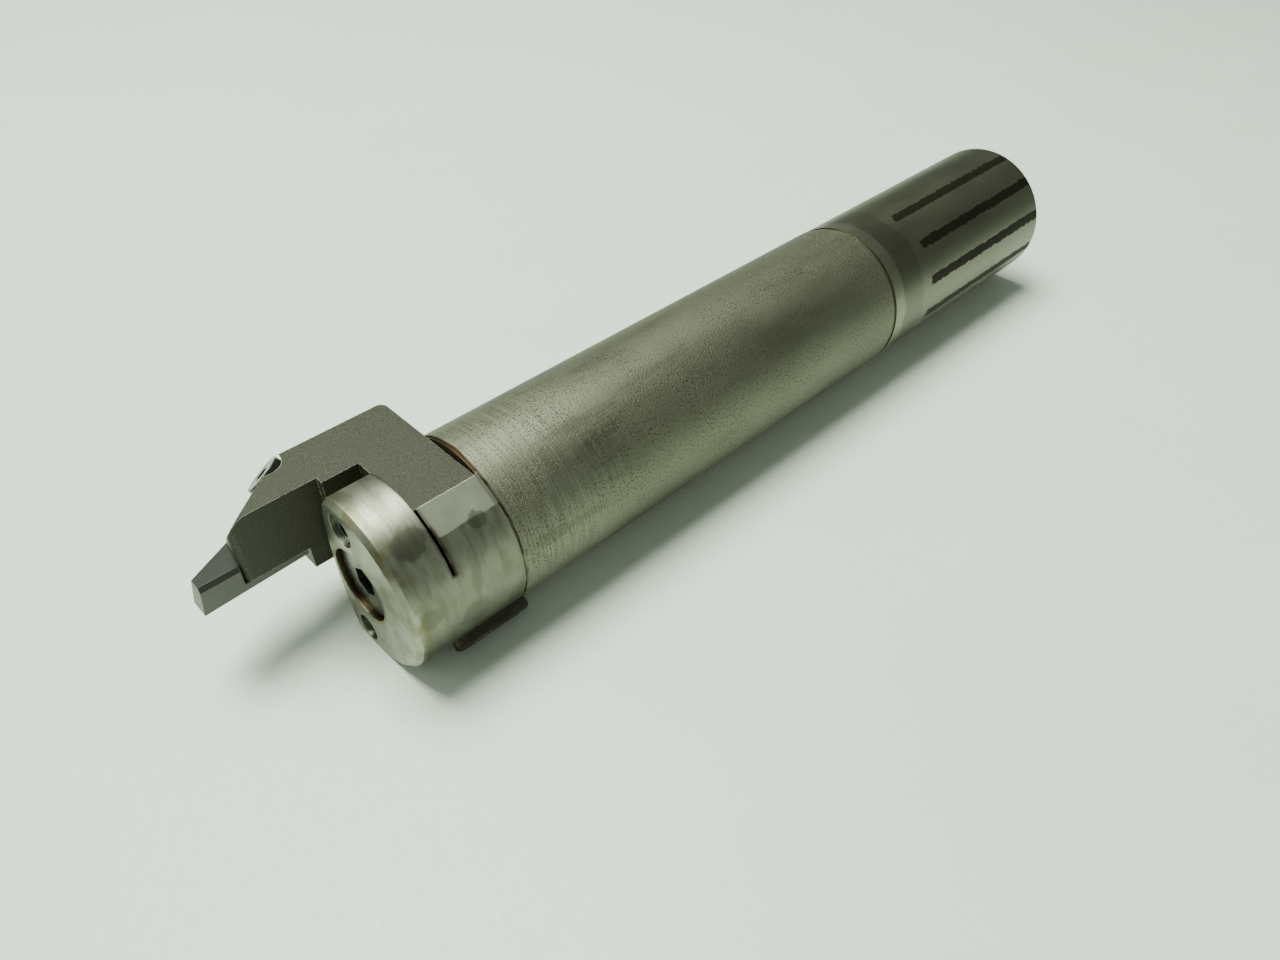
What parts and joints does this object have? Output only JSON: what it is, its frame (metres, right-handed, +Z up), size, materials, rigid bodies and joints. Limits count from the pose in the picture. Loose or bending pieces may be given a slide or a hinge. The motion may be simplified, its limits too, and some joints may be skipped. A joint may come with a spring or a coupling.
{
  "type": "face grooving bar",
  "caption": "Steel boring bar with a plain round shank, carrying a clamped offset blade with a carbide insert for cutting deep grooves in a face.",
  "frame": {"origin": "on the bar's axis, in the plane of the small shoulder where the round shank meets the tube", "axes": "+X runs along the bar towards the cutting end, +Z points up from the ground flat that the bar lies on, and the blade stands out on the -Y side"},
  "size_m": [0.2055, 0.0393, 0.0311],
  "materials": {
    "bar_steel": "satin ground steel with dark handling stains",
    "blade_steel": "grey-brown granular hardened steel with worn bright edges",
    "carbide": "smooth dark coated carbide",
    "black_oxide": "black oxide steel with a thin film of oil",
    "pad_steel": "dark brown worn steel"
  },
  "bodies": {
    "bar": {"bar_body": "bar_steel", "guide_pad": "pad_steel", "guide_pad_screws": "black_oxide"},
    "blade": {"support_blade": "blade_steel"},
    "insert": {"grooving_insert": "carbide"},
    "clamp_screw": {"clamp_screw": "black_oxide"},
    "lock_screw": {"blade_lock_screw": "black_oxide"},
    "insert_screw": {"insert_clamp_screw": "black_oxide"}
  },
  "joints": [
    {"name": "blade_slide", "type": "slide", "parent": "bar", "child": "blade", "axis": [0, -1, 0], "range_m": [0, 0.04]},
    {"name": "insert_slide", "type": "slide", "parent": "blade", "child": "insert", "axis": [1, 0, 0], "range_m": [0, 0.02]},
    {"name": "clamp_screw_turn", "type": "hinge", "parent": "bar", "child": "clamp_screw", "pos_m": [0.118, 0, 0], "axis": [1, 0, 0], "range_deg": [0, 1080]},
    {"name": "blade_lock_screw_turn", "type": "hinge", "parent": "bar", "child": "lock_screw", "pos_m": [0.119, -0.0016, 0.011], "axis": [1, 0, 0], "range_deg": [0, 1080]},
    {"name": "insert_clamp_screw_turn", "type": "hinge", "parent": "blade", "child": "insert_screw", "pos_m": [0.1266, -0.0203, 0.0125], "axis": [0.4498, -0.5456, 0.7071], "range_deg": [0, 1080]}
  ]
}
